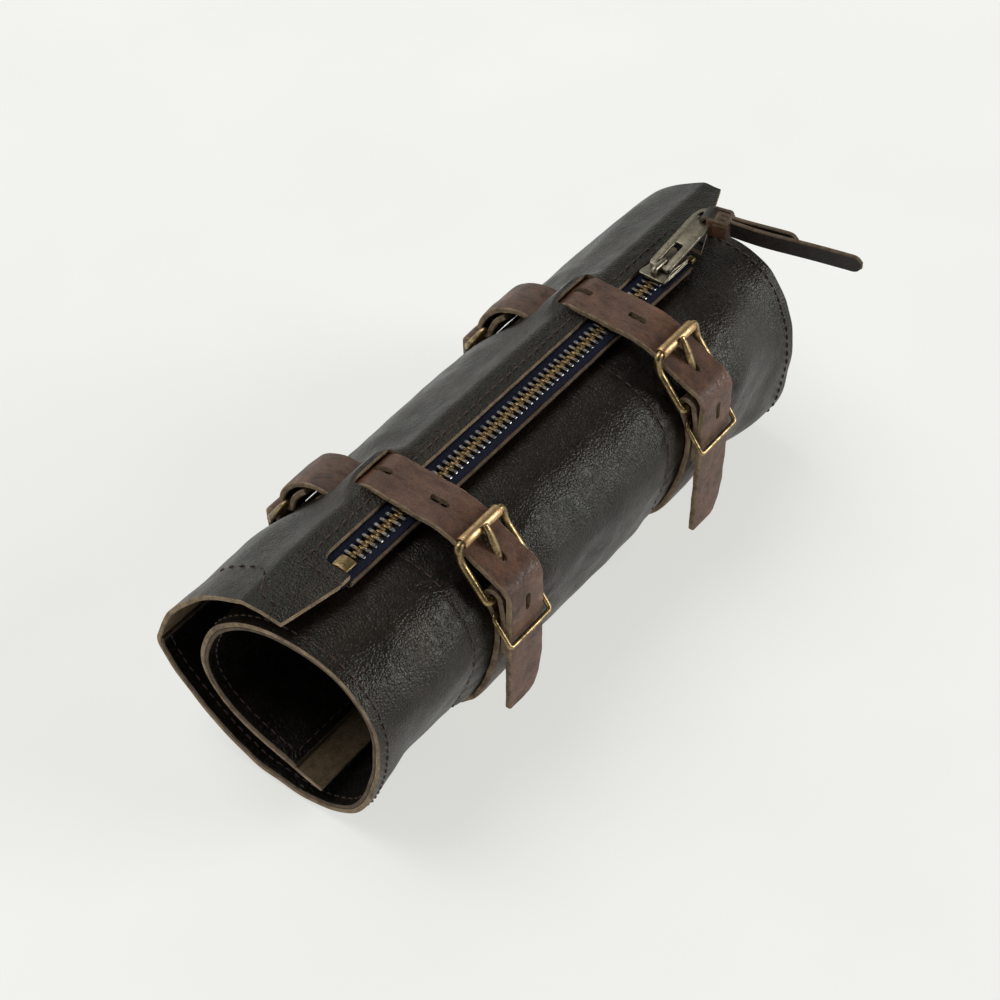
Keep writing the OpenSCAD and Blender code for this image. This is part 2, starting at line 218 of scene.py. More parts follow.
def flap_reach(x, s):
    """Moves the far columns out where the flap reaches past the end of the body."""
    reach = (FLAP_END - FAR_END) * (1 - smooth((s - 45) / (AT_FOLD - 45)))
    return x + reach * smooth((x - 88) / (FAR_END - 88))


# ---------------- materials
def shader(name):
    """A new material, its Principled BSDF, and object coordinates in millimetres."""
    material = bpy.data.materials.new(name)
    material.use_nodes = True
    bsdf = material.node_tree.nodes["Principled BSDF"]
    return material, bsdf, millimetres(bsdf)


def feed(node, **inputs):
    """Gives a node values or sockets, by socket name with _ for a space, or by i and a number."""
    for key, value in inputs.items():
        socket = node.inputs[int(key[1:]) if key[1:].isdigit() else key.replace("_", " ")]
        if isinstance(value, bpy.types.NodeSocket):
            node.id_data.links.new(value, socket)
        else:
            socket.default_value = value


def add(near, kind, settings=None, **inputs):
    """A new node with its settings and inputs, in the tree of another node or socket."""
    node = near.id_data.nodes.new("ShaderNode" + kind)
    for key, value in (settings or {}).items():
        setattr(node, key, value)
    feed(node, **inputs)
    return node


def millimetres(near, scale=(1, 1, 1)):
    """Object coordinates in millimetres."""
    place = add(near, "TexCoord").outputs["Object"]
    size = tuple(k / MM for k in scale)
    return add(near, "Mapping", Vector=place, Scale=size).outputs["Vector"]


def noise(place, size, detail=3.0, distortion=0.0, roughness=0.55):
    node = add(place, "TexNoise", Vector=place, Scale=1 / size, Detail=detail,
               Distortion=distortion, Roughness=roughness)
    return node.outputs["Fac"]


def maths(operation, a, b=0.5):
    return add(a, "Math", {"operation": operation}, i0=a, i1=b).outputs[0]


def mixture(a, b, share):
    """That share of one value with the rest of another."""
    return maths("ADD", maths("MULTIPLY", a, share), maths("MULTIPLY", b, 1 - share))


def spread(value, low, high, to_low=0.0, to_high=1.0):
    node = add(value, "MapRange", Value=value, From_Min=low, From_Max=high, To_Min=to_low, To_Max=to_high)
    return node.outputs["Result"]


def wave(value, size):
    """A wave between 0 and 1 that repeats every size millimetres."""
    turns = maths("MULTIPLY", value, tau / size)
    return spread(maths("SINE", turns), -1.0, 1.0)


def blend_colours(factor, dark, light):
    ends = [end if isinstance(end, bpy.types.NodeSocket) else (*end, 1) for end in (dark, light)]
    return add(factor, "Mix", {"data_type": "RGBA"}, i0=factor, i6=ends[0], i7=ends[1]).outputs[2]


def bumps(bsdf, *layers):
    """Chains bump nodes; each layer is a height socket, its depth in millimetres and its strength."""
    below = {}
    for height, depth, strength in layers:
        node = add(bsdf, "Bump", Height=height, Distance=depth * MM, Strength=strength, **below)
        below = {"Normal": node.outputs["Normal"]}
    feed(bsdf, **below)


def grain_leather(name, dark, light, worn, rough, pebble=1.35):
    """Glossy pebbled leather: rounded grains, fine creases with painted shade in their grooves, and soft
    colour patches.
    """
    material, bsdf, place = shader(name)
    warp = add(place, "TexNoise", Vector=place, Scale=0.25, Detail=2.0)
    moved = add(place, "VectorMath", {"operation": "MULTIPLY_ADD"}, i0=warp.outputs["Color"],
                i1=(1.2, 1.2, 1.2), i2=place).outputs[0]
    cells = add(place, "TexVoronoi", {"feature": "DISTANCE_TO_EDGE"}, Vector=moved,
                Scale=1 / pebble).outputs["Distance"]
    grains = spread(cells, 0.0, 0.32)
    folds = noise(moved, 4.6, 3.0, 0.6)
    ridge = maths("ABSOLUTE", maths("SUBTRACT", folds, 0.5))
    creases = spread(ridge, 0.0, 0.1)
    patches = noise(place, 26.0, 4.0, 0.8)
    tone = spread(patches, 0.35, 0.7)
    colour = blend_colours(tone, dark, light)
    rubbed = maths("MULTIPLY", spread(noise(place, 60.0, 5.0, 1.0), 0.52, 0.72),
                   spread(grains, 0.3, 1.0, 0.35, 1.0))
    colour = blend_colours(rubbed, colour, worn)
    # painted shade: the crease grooves are darkened towards half the dark colour
    crease_shade = spread(creases, 0.0, 1.0, 0.55, 0.0)
    colour = blend_colours(crease_shade, colour, tuple(c * 0.5 for c in dark))
    gloss = spread(noise(place, 9.0, 4.0), 0.3, 0.7, *rough)
    feed(bsdf, Base_Color=colour, Roughness=gloss, Specular_IOR_Level=0.27,
         Specular_Tint=(0.97, 1.0, 0.88, 1))
    fine = noise(place, 0.6, 2.0)
    swell = noise(place, 5.0, 2.0)
    bumps(bsdf, (swell, 0.7, 0.5), (creases, 0.18, 0.4), (grains, 0.2, 0.6), (fine, 0.03, 0.3))
    return material


def strap_leather(name, dark, light, along):
    """Waxed strap leather with streaks along it and fine cracks across."""
    material, bsdf, place = shader(name)
    drawn = millimetres(bsdf, tuple(0.3 if k == along else 1.0 for k in range(3)))
    streaks = noise(drawn, 3.6, 6.0, 1.4, 0.7)
    patches = noise(place, 12.0, 4.0, 0.5)
    tone = mixture(streaks, patches, 0.5)
    colour = blend_colours(spread(tone, 0.32, 0.66), dark, light)
    pores = noise(place, 0.55, 3.0)
    colour = blend_colours(spread(pores, 0.45, 0.7, 0.0, 0.6), colour, dark)
    feed(bsdf, Base_Color=colour, Roughness=spread(tone, 0.3, 0.7, 0.56, 0.38),
         Specular_IOR_Level=0.36)
    lines = spread(maths("ABSOLUTE", maths("SUBTRACT", streaks, 0.5)), 0.0, 0.05)
    bumps(bsdf, (lines, 0.12, 0.5), (pores, 0.06, 0.5))
    return material


def raw_leather(name, dark, light, fibre=0.45, depth=0.16):
    """Cut or split leather: a mat of short fibres."""
    material, bsdf, place = shader(name)
    fibres = noise(place, fibre, 5.0, 1.2, 0.7)
    patches = noise(place, fibre * 9, 3.0)
    tone = mixture(fibres, patches, 0.6)
    colour = blend_colours(spread(tone, 0.38, 0.62), dark, light)
    feed(bsdf, Base_Color=colour, Roughness=0.88, Specular_IOR_Level=0.2)
    bumps(bsdf, (patches, 0.35, 0.7), (fibres, depth, 0.9))
    return material


def woven_tape(name, dark, light):
    """Herringbone tape: short slanting threads in rows."""
    material, bsdf, place = shader(name)
    axes = add(place, "SeparateXYZ", Vector=place)
    x, y = axes.outputs["X"], axes.outputs["Y"]
    rows = maths("PINGPONG", y, 0.9)
    slant = maths("ADD", x, maths("MULTIPLY", rows, 1.1))
    threads = wave(slant, 0.72)
    height = maths("MULTIPLY", threads, spread(wave(y, 0.9), 0.0, 0.5, 0.4, 1.0))
    fuzz = noise(place, 0.3, 3.0)
    tone = maths("MULTIPLY", height, spread(fuzz, 0.3, 0.7, 0.6, 1.2))
    colour = blend_colours(tone, dark, light)
    feed(bsdf, Base_Color=colour, Roughness=0.85, Specular_IOR_Level=0.15)
    bumps(bsdf, (height, 0.18, 0.9), (fuzz, 0.05, 0.6))
    return material


def twisted_thread(name, dark, light):
    material, bsdf, place = shader(name)
    axes = add(place, "SeparateXYZ", Vector=place)
    total = maths("ADD", maths("ADD", axes.outputs["X"], axes.outputs["Y"]), axes.outputs["Z"])
    twist = wave(total, 0.42)
    fuzz = noise(place, 0.4, 3.0)
    tone = maths("MULTIPLY", twist, spread(fuzz, 0.3, 0.7, 0.5, 1.3))
    feed(bsdf, Base_Color=blend_colours(tone, dark, light), Roughness=0.6)
    bumps(bsdf, (twist, 0.1, 0.8), (fuzz, 0.04, 0.5))
    return material


def old_metal(name, bright, dull, rough, tarnish=0.55):
    """Plated or solid metal with tarnish in patches, rubbed bright elsewhere."""
    material, bsdf, place = shader(name)
    patches = noise(place, 2.6, 5.0, 0.7, 0.65)
    specks = noise(place, 0.5, 3.0)
    tone = mixture(patches, specks, 0.7)
    worn = spread(tone, tarnish - 0.13, tarnish + 0.09)
    feed(bsdf, Base_Color=blend_colours(worn, bright, dull),
         Roughness=spread(tone, 0.35, 0.65, *rough), Metallic=1.0)
    bumps(bsdf, (patches, 0.06, 0.5), (specks, 0.02, 0.4))
    return material


def tooth_metal(name):
    """Brass teeth: golden where the two rows meet, greyer at their outer ends, where the grey is painted
    reflection standing for silver glints.
    """
    material, bsdf, place = shader(name)
    across = add(place, "SeparateXYZ", Vector=place).outputs["Y"]
    from_middle = maths("ABSOLUTE", maths("SUBTRACT", across, ZIP_Y + MIDDLE[1]))
    # painted reflection: the colour turns grey away from the middle line, standing in for silver glints on
    # the teeth's outer ends
    outer = spread(from_middle, 1.2, 2.6)
    specks = spread(noise(place, 0.8, 4.0, 0.5), 0.38, 0.62)
    middle = blend_colours(specks, (0.07, 0.047, 0.025), (0.4, 0.27, 0.13))
    ends = blend_colours(specks, (0.04, 0.04, 0.042), (0.36, 0.355, 0.35))
    feed(bsdf, Base_Color=blend_colours(outer, middle, ends),
         Roughness=spread(specks, 0.0, 1.0, 0.52, 0.34), Metallic=1.0)
    bumps(bsdf, (specks, 0.03, 0.5))
    return material


NEAR_BLACK, DARK_BROWN, WORN_BROWN = (0.0052, 0.003, 0.0023), (0.013, 0.0072, 0.0051), (0.032, 0.017, 0.0115)
case_leather = grain_leather("case_leather", NEAR_BLACK, DARK_BROWN, WORN_BROWN, (0.32, 0.46))
lining_leather = grain_leather("lining_leather", (0.005, 0.0042, 0.0038), (0.011, 0.0085, 0.0075),
                               (0.02, 0.014, 0.011), (0.26, 0.45), 1.9)
case_flesh = raw_leather("case_flesh", (0.06, 0.041, 0.024), (0.2, 0.145, 0.082), 0.6, 0.2)
cut_edge = raw_leather("cut_edge", (0.085, 0.056, 0.035), (0.36, 0.265, 0.175), 0.55)
dark_cut_edge = raw_leather("dark_cut_edge", (0.05, 0.034, 0.024), (0.16, 0.115, 0.08))
strap_face = strap_leather("strap_face", (0.017, 0.0068, 0.004), (0.165, 0.076, 0.042), 1)
strap_back = raw_leather("strap_back", (0.05, 0.028, 0.018), (0.12, 0.074, 0.048))
thong_face = strap_leather("thong_face", (0.007, 0.005, 0.004), (0.022, 0.0145, 0.011), 0)
pocket_face = raw_leather("pocket_face", (0.045, 0.03, 0.02), (0.15, 0.105, 0.07), 0.5, 0.1)
zip_tape = woven_tape("zip_tape", (0.002, 0.0023, 0.005), (0.013, 0.0165, 0.043))
stitch_thread = twisted_thread("stitch_thread", (0.012, 0.006, 0.005), (0.082, 0.037, 0.029))
aged_brass = old_metal("aged_brass", (0.4, 0.29, 0.14), (0.11, 0.078, 0.04), (0.24, 0.46), 0.52)
roller_brass = old_metal("roller_brass", (0.55, 0.37, 0.19), (0.24, 0.15, 0.075), (0.3, 0.55))
tooth_brass = tooth_metal("tooth_brass")
grey_nickel = old_metal("grey_nickel", (0.25, 0.225, 0.175), (0.115, 0.098, 0.066), (0.28, 0.48))
SHEET_SLOTS = (case_leather, case_flesh, cut_edge)
STRAP_SLOTS = (strap_face, strap_back, cut_edge)


# ---------------- mesh making
def hang(name, data, materials=()):
    """Puts new data into the scene as an object."""
    for material in materials:
        data.materials.append(material)
    obj = bpy.data.objects.new(name, data)
    bpy.context.scene.collection.objects.link(obj)
    return obj


def shade(mesh, sharp=40):
    """Smooth shading, with edges kept sharp above an angle in degrees."""
    mesh.shade_smooth()
    mesh.set_sharp_from_angle(angle=radians(sharp))


def mend(mesh, merge=False):
    """Turns the faces outwards and, with merge, joins points that lie together."""
    work = bmesh.new()
    work.from_mesh(mesh)
    if merge:
        bmesh.ops.remove_doubles(work, verts=work.verts, dist=1e-6)
    bmesh.ops.recalc_face_normals(work, faces=work.faces)
    work.to_mesh(mesh)
    work.free()


def piece(name, verts, faces, materials, face_slots=None):
    """A mesh object from points in millimetres."""
    mesh = bpy.data.meshes.new(name)
    mesh.from_pydata(((np.asarray(verts, float) + MIDDLE) * MM).tolist(), [], faces)
    obj = hang(name, mesh, materials)
    if face_slots is not None:
        mesh.polygons.foreach_set("material_index", face_slots)
    mend(mesh)
    shade(mesh)
    return obj


def evaluated_mesh(obj):
    """A new mesh from the object, with its modifiers or its curve's bevel applied."""
    graph = bpy.context.evaluated_depsgraph_get()
    return bpy.data.meshes.new_from_object(obj.evaluated_get(graph))


def tube_faces(start, around, rings):
    """Faces of a capped tube whose rings of points follow one another from the start."""
    faces = []
    for ring in range(rings - 1):
        for a in range(around):
            b, c = (a + 1) % around, start + ring * around
            faces.append([c + a, c + b, c + around + b, c + around + a])
    faces.append([start + a for a in range(around)])
    faces.append([start + (rings - 1) * around + a for a in range(around)][::-1])
    return faces


def slab(name, path, columns, thick, materials, top=0.0, lift=None, warp=None, bevel=0.35, turn=None):
    """A closed sheet of leather that follows a path and spans the columns along X.

    top is how far its outer face lies outside the path. lift(x, s) moves both faces outwards and
    warp(x, s) moves columns along X. turn is an optional matrix that places the sheet.
    """
    count = len(path)
    order = np.concatenate([np.arange(count), [count - 1] * 2, np.arange(count)[::-1], [0, 0]])
    depth = np.concatenate([np.zeros(count), [bevel, thick - bevel], np.full(count, thick),
                            [thick - bevel, bevel]])
    ahead = np.zeros(len(order))
    ahead[count:count + 2], ahead[-2:] = bevel, -bevel
    loop = len(order)
    columns = np.asarray(columns, float)
    xs = np.concatenate([[columns[0] - bevel], columns, [columns[-1] + bevel]])
    depths = np.tile(depth, (len(xs), 1))
    for end in (0, -1):
        depths[end] = np.clip(depth, bevel, thick - bevel)
    x, s = np.meshgrid(xs, path[order, 3], indexing="ij")
    out = top - depths + (lift(x, s) if lift else 0)
    heading = path[order, 2]
    y = path[order, 0] - out * np.sin(heading) + ahead * np.cos(heading)
    z = path[order, 1] + out * np.cos(heading) + ahead * np.sin(heading)
    verts = np.stack([warp(x, s) if warp else x, y, z], -1).reshape(-1, 3)
    if turn is not None:
        verts = verts @ np.array(turn.to_3x3()).T + np.array(turn.translation)
    i, j = np.meshgrid(np.arange(len(xs) - 1), np.arange(loop), indexing="ij")
    k = (j + 1) % loop
    quads = np.stack([i * loop + j, i * loop + k, (i + 1) * loop + k, (i + 1) * loop + j], -1)
    kind = np.where(j < count - 1, OUTER, np.where((j >= count + 2) & (j < 2 * count + 1), INNER, EDGE))
    kind[(i == 0) | (i == len(xs) - 2)] = EDGE
    quads, kind = quads.reshape(-1, 4).tolist(), kind.reshape(-1).tolist()
    mirror = [2 * count + 1 - j for j in range(count)]
    for base in (0, (len(xs) - 1) * loop):
        caps = [(j, j + 1, mirror[j + 1], mirror[j]) for j in range(count - 1)]
        caps += [(count - 1, count, count + 1, mirror[-1]), (0, mirror[0], loop - 2, loop - 1)]
        quads += [[base + corner for corner in cap] for cap in caps]
        kind += [EDGE] * len(caps)
    return piece(name, verts, quads, materials, kind)


def prism(outline, low, high):
    """Points and faces of an upright prism on a closed outline of (x, y) points."""
    count = len(outline)
    verts = [(x, y, low) for x, y in outline] + [(x, y, high) for x, y in outline]
    faces = [[k, (k + 1) % count, count + (k + 1) % count, count + k] for k in range(count)]
    faces += [list(range(count))[::-1], list(range(count, 2 * count))]
    return np.array(verts, float), faces


def cut(obj, prisms):
    """Cuts the prisms out of a piece of leather; the cut walls show a raw edge."""
    verts, faces = [], []
    for points, sides in prisms:
        faces += [[corner + len(verts) for corner in side] for side in sides]
        verts += points.tolist()
    cutter = piece(obj.name + "_cutter", verts, faces, [cut_edge])
    change = obj.modifiers.new("cut", "BOOLEAN")
    change.operation, change.solver, change.object = "DIFFERENCE", "EXACT", cutter
    change.material_mode = "TRANSFER"
    mesh = evaluated_mesh(obj)
    obj.modifiers.clear()
    obj.data = mesh
    shade(mesh)
    bpy.data.objects.remove(cutter)


def rounded(points, radius, closed=True, steps=6):
    """A polyline with each corner turned into a short arc."""
    points = [np.array(p, float) for p in points]
    result = []
    for k, corner in enumerate(points):
        if not closed and k in (0, len(points) - 1):
            result.append(corner)
            continue
        before, after = points[k - 1] - corner, points[(k + 1) % len(points)] - corner
        a, b = np.linalg.norm(before), np.linalg.norm(after)
        reach = min(radius, a * 0.45, b * 0.45)
        start, end = corner + before / a * reach, corner + after / b * reach
        for step in range(steps + 1):
            t = step / steps
            result.append((1 - t) ** 2 * start + 2 * t * (1 - t) * corner + t ** 2 * end)
    return result


def wire(name, points, radius, materials, closed=True, taper=None):
    """A round bar along 3-D points; taper lists a width for each point."""
    data = bpy.data.curves.new(name, "CURVE")
    data.dimensions, data.bevel_depth, data.bevel_resolution = "3D", radius * MM, 5
    data.use_fill_caps = True
    line = data.splines.new("POLY")
    line.points.add(len(points) - 1)
    for k, point in enumerate(points):
        line.points[k].co = (*((np.array(point) + MIDDLE) * MM), 1)
        line.points[k].radius = taper[k] if taper else 1
    line.use_cyclic_u = closed
    return baked_curve(name, data, materials)


def baked_curve(name, data, materials, sharp=50):
    """A mesh object from a curve."""
    holder = hang(name + "_curve", data)
    mesh = evaluated_mesh(holder)
    bpy.data.objects.remove(holder)
    mesh.name = name
    mend(mesh, merge=True)
    mesh.materials.clear()
    shade(mesh, sharp)
    return hang(name, mesh, materials)


def plate(name, outlines, thick, materials, bevel, turn):
    """A flat plate with round edges from closed (x, y) outlines; the later ones are holes.

    turn is the matrix that places the plate.
    """
    data = bpy.data.curves.new(name, "CURVE")
    data.dimensions, data.fill_mode = "2D", "BOTH"
    data.extrude, data.bevel_depth = (thick / 2 - bevel) * MM, bevel * MM
    data.bevel_resolution, data.offset = 3, -bevel * MM
    for outline in outlines:
        line = data.splines.new("POLY")
        line.points.add(len(outline) - 1)
        for k, (x, y) in enumerate(outline):
            line.points[k].co = (x * MM, y * MM, 0, 1)
        line.use_cyclic_u = True
    obj = baked_curve(name, data, materials, 35)
    scaled = turn.copy()
    scaled.translation = (turn.translation + Vector(MIDDLE)) * MM
    obj.data.transform(scaled)
    return obj


def circle(x, y, radius):
    count = 28
    return [(x + radius * cos(tau * k / count), y + radius * sin(tau * k / count))
            for k in range(count)]


def mirrored(half):
    """A closed outline from the half on its low side."""
    return half + [(x, -y) for x, y in half[::-1]]


def box_outline(x0, y0, x1, y1, radius):
    return rounded([(x0, y0), (x1, y0), (x1, y1), (x0, y1)], radius, True, 5)


def joined(name, objects):
    """One object from several, keeping their material slots."""
    materials = []
    work = bmesh.new()
    for obj in objects:
        slots = []
        for material in obj.data.materials:
            if material not in materials:
                materials.append(material)
            slots.append(materials.index(material))
        start = len(work.faces)
        work.from_mesh(obj.data)
        work.faces.ensure_lookup_table()
        for face in work.faces[start:]:
            face.material_index = slots[face.material_index] if slots else 0
        bpy.data.objects.remove(obj)
    mesh = bpy.data.meshes.new(name)
    work.to_mesh(mesh)
    work.free()
    mesh.set_sharp_from_angle(angle=radians(40))
    return hang(name, mesh, materials)


def stitches(name, spots):
    """Short bent stitches; each spot is a point, the direction of sewing and the leather's normal."""
    draw = np.random.default_rng(len(spots))
    verts, faces = [], []
    length, radius = 3.1, 0.36
    around, stations = 7, 6
    for point, along, normal in spots:
        side = np.cross(along, normal)
        along = along + side * draw.uniform(-0.1, 0.1)
        start = len(verts)
        for k in range(stations + 1):
            t = k / stations * 2 - 1
            centre = point + along * t * length / 2 + normal * (0.22 - 0.5 * t ** 4)
            fat = radius * (1 - 0.25 * t ** 2)
            for a in range(around):
                angle = tau * a / around
                verts.append(centre + fat * (cos(angle) * side + sin(angle) * normal))
        faces += tube_faces(start, around, stations + 1)
    return piece(name, verts, faces, [stitch_thread])


def dress(obj, body, slot, *nodes):
    """Hangs a finished piece on its body, in place of its CAD nodes."""
    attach(obj, body)
    if nodes:
        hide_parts(*nodes)


# ---------------- camera, light and floor
def make_camera():
    """The view from above the near end, 47 degrees up."""
    data = bpy.data.cameras.new("camera")
    data.lens, data.sensor_width = 75.6, 36
    data.clip_start, data.clip_end = 0.01, 20
    camera = hang("camera", data)
    from_strap_middle = Vector((-0.457, -0.3522, 0.6605))
    camera.location = from_strap_middle + Vector(MIDDLE) * MM
    rise, turn = radians(47), radians(37.6)
    forward = Vector((cos(rise) * cos(turn), cos(rise) * sin(turn), -sin(rise)))
    camera.rotation_euler = forward.to_track_quat("-Z", "Y").to_euler()
    bpy.context.scene.camera = camera


def sun(name, towards, strength, width):
    """A far, soft light, that many degrees wide, whose rays run towards the given direction."""
    data = bpy.data.lights.new(name, "SUN")
    data.energy, data.angle = strength, radians(width)
    hang(name, data).rotation_euler = Vector(towards).to_track_quat("-Z", "Y").to_euler()


def make_studio():
    """A soft key above the back, a low light at the far end's front, and a pale floor.

    The world is pale low down and towards the back, and dim above the front.
    """
    world = bpy.data.worlds.new("studio")
    bpy.context.scene.world = world
    world.use_nodes = True
    background = world.node_tree.nodes["Background"]
    towards = add(background, "TexCoord").outputs["Generated"]
    axes = add(background, "SeparateXYZ", Vector=towards)
    lean = maths("SUBTRACT", maths("MULTIPLY", axes.outputs["Z"], 0.75),
                 maths("MULTIPLY", axes.outputs["Y"], 0.75))
    pale, dim = (0.98, 1.01, 0.95), (0.13, 0.13, 0.12)
    ceiling = blend_colours(spread(lean, -0.1, 0.6), pale, dim)
    feed(background, Color=ceiling, Strength=0.82)
    sun("key", (0.12, -0.5, -1.0), 1.35, 40)
    sun("side", (-0.54, 0.74, -0.32), 2.2, 32)
    bpy.context.scene.view_settings.view_transform = "Standard"
    size = 30000.0
    material, bsdf, place = shader("paper_floor")
    tone = spread(noise(place, 140.0, 3.0), 0.3, 0.7)
    colour = blend_colours(tone, (0.3, 0.3, 0.3), (0.33, 0.33, 0.33))
    feed(bsdf, Base_Color=colour, Roughness=0.9, Emission_Color=(1.0, 1.005, 0.955, 1),
         Emission_Strength=0.585)
    floor = piece("floor", [(-size, -size, 0), (size, -size, 0), (size, size, 0), (-size, size, 0)],
                  [[0, 1, 2, 3]], [material])


# ---------------- the rolled sheets
def sheet_columns(low, high):
    """Columns along the roll, closer together along the seams."""
    step = 1.9
    columns = list(np.linspace(low, high, int((high - low) / step) + 1))
    for strap in STRAP_X:
        columns += [strap - SEAM_SIDE + d for d in (-1.4, -0.7, 0, 0.7, 1.4)]
    return np.unique(np.round([x for x in columns if low <= x <= high], 2))


def build_outer_panel():
    sheet = slab("outer_sheet", panel, sheet_columns(NEAR_END + 0.35, FAR_END - 0.35), LEATHER,
                 SHEET_SLOTS, lift=body_lift, warp=flap_reach)
    low, high = FLAP_TOP - 5.2, FLAP_TOP + 12
    window = box_outline(WINDOW_X[0], FLAP_EDGE_Y - 8, WINDOW_X[1], WINDOW_Y, 5.5)
    clear = FLAP_EDGE_Y - 10
    near_corner = [(WINDOW_X[0] + 1, -16.4), (WINDOW_X[0] - 6, -16.4), (NEAR_END - 3, -10.4),
                   (NEAR_END - 3, clear), (WINDOW_X[0] + 1, clear)]
    far_corner = [(WINDOW_X[1] - 1, -17), (FLAP_END + 3, 1.5), (FLAP_END + 3, clear),
                  (WINDOW_X[1] - 1, clear)]
    for outline in (window, near_corner, far_corner):
        cut(sheet, [prism(outline, low, high)])
    half = STRAP_HALF + 0.5
    cut(sheet, [prism(box_outline(x - half, front, x + half, back, 1.2), FLAP_TOP - down, FLAP_TOP + up)
                for x in STRAP_X for (front, back), down, up in zip(SLITS, (8, 22), (6, 0))])
    dress(sheet, "case", "case_leather", "outer_panel")


def build_liner():
    columns = sheet_columns(NEAR_END + 0.6, FAR_END - 0.6)
    lining = slab("lining_sheet", stretch_of(panel, AT_FOLD, AT_MARGIN), columns, LINING,
                  (case_flesh, lining_leather, dark_cut_edge), top=-LEATHER - 0.04, lift=body_lift)
    dress(lining, "case", "lining_leather", "liner_panel")


def build_brush_slots():
    """Sewn channels for brushes, swelling a little between their seams."""
    low, high = (corner[0] for corner in corners("brush_slot_panel"))
    channel = 26.0

    def swell(x, s):
        return body_lift(x, s) - 1.5 * abs(np.sin(pi * (s - AT_FLOOR) / channel)) ** 0.7

    end = length_to(11)
    panel_piece = slab("brush_channels", stretch_of(panel, AT_FLOOR, end), np.linspace(low, high, 70), 1.0,
                       (case_flesh, lining_leather, dark_cut_edge), top=-LEATHER - LINING - 0.5, lift=swell)
    spots = []
    inside = LEATHER + LINING + 1.5
    for s in np.arange(AT_FLOOR + channel, end, channel):
        (y, z), heading = on_path(panel, s, -inside - 0.1)
        normal = np.array([0, sin(heading), -cos(heading)])
        spots += [(np.array([x, y, z]) + normal * -float(body_lift(np.array(x), np.array(s))),
                   np.array([1.0, 0, 0]), normal) for x in np.arange(low + 4, high - 3, 5)]
    seams = stitches("brush_channel_stitches", spots)
    dress(panel_piece, "case", "lining_leather", "brush_slot_panel")
    dress(seams, "case", "thread")


def build_pocket():
    front = [(0.5, 0), (0.8, -80), (1.9, 0), (0.8, 80)]
    rear = [(19.6, 0), (3, -42), (26, -6), (22, -4), (14, 6)]
    path = bend_path((-17.4, TAPE_Z - 0.85), 0, front + rear)
    wall = slab("pocket_lining", path, np.linspace(WINDOW_X[0] - 0.5, SLIDER_X + 19.5, 110), 0.9,
                (pocket_face, pocket_face, pocket_face), bevel=0.25,
                lift=lambda x, s: 0.12 * ripple(x, s, 20, 11) * smooth((s - 8) / 6))
    dress(wall, "case", "pocket_leather", "pocket_wall")


# ---------------- zip
def build_tapes():
    ends = {"back": WINDOW_X[1] + 3, "front": SLIDER_X + 19}
    for name, start, width in (("back", ZIP_Y + 3.3, 10.5), ("front", -16.6, 3.1)):
        path = bend_path((start, TAPE_Z), 0, [(width, 0)], 0.7)
        tape = slab("tape_" + name, path, np.linspace(WINDOW_X[0] - 5, ends[name], 220), 0.8,
                    (zip_tape,) * 3, bevel=0.2, lift=lambda x, s: 0.1 * ripple(x, s * 3, 9, 12))
        dress(tape, "case", "zip_tape", "zip_tape_" + name)


def tooth(x, side):
    """One tooth: a rounded head on a body that grips the tape's edge."""
    middle = TAPE_Z - 0.35
    shape = mirrored([(-1.4, -0.7), (0.2, -0.9), (1.0, -1.2), (3.6, -1.2), (4.2, -0.8)])
    outline = rounded(shape, 0.35, True, 2)
    half = 0.66
    rows = []
    for x_at, shrink in ((-half, 0.86), (-half + 0.18, 1.0), (half - 0.18, 1.0), (half, 0.86)):
        rows.append([(x + x_at, ZIP_Y + side * (1.6 + (y - 1.6) * shrink), middle + z * shrink)
                     for y, z in outline])
    return rows


def build_teeth():
    pitch, first = 3.28, WINDOW_X[0] + 8
    count = int((SLIDER_X + 4 - first) / pitch)
    for side, name in ((1, "back"), (-1, "front")):
        verts, faces = [], []
        for k in range(count):
            rows = tooth(first + 0.75 + (k + (0 if side > 0 else 0.5)) * pitch, side)
            faces += tube_faces(len(verts), len(rows[0]), len(rows))
            verts += [point for row in rows for point in row]
        teeth = piece("teeth_" + name, verts, faces, [tooth_brass])
        dress(teeth, "case", "tooth_brass", "zip_teeth_" + name)


def build_stops():
    low, high = corners("zip_box_stop")
    width = 6.6
    path = bend_path((ZIP_Y - width / 2, high[2] - 0.35), 20, [(width, -40)], 0.5)
    cap = slab("box_stop_cap", path, np.linspace(low[0] + 0.5, high[0] - 0.5, 14), 2.6, (aged_brass,) * 3,
               bevel=0.45, lift=lambda x, s: -0.35 * (abs(2 * (x - low[0]) / (high[0] - low[0]) - 1)) ** 3)
    dress(cap, "case", "old_brass", "zip_box_stop")
    low, high = corners("zip_top_stops")
    ends = []
    for side in (-1, 1):
        turn = Matrix.Translation(((low[0] + high[0]) / 2, ZIP_Y + side * 4.6, (low[2] + high[2]) / 2))
        ends.append(plate("stop", [box_outline(-1.5, -1.4, 1.5, 1.4, 0.6)], 2.4, [aged_brass], 0.4, turn))
    dress(joined("top_stop_clamps", ends), "case", "old_brass", "zip_top_stops")


def widen(obj, axis, middle):
    """Makes a round bar oval: wider along an axis, about its middle."""
    oval = 1.3
    middle = (middle + MIDDLE[axis]) * MM
    for vertex in obj.data.vertices:
        vertex.co[axis] = middle + (vertex.co[axis] - middle) * oval


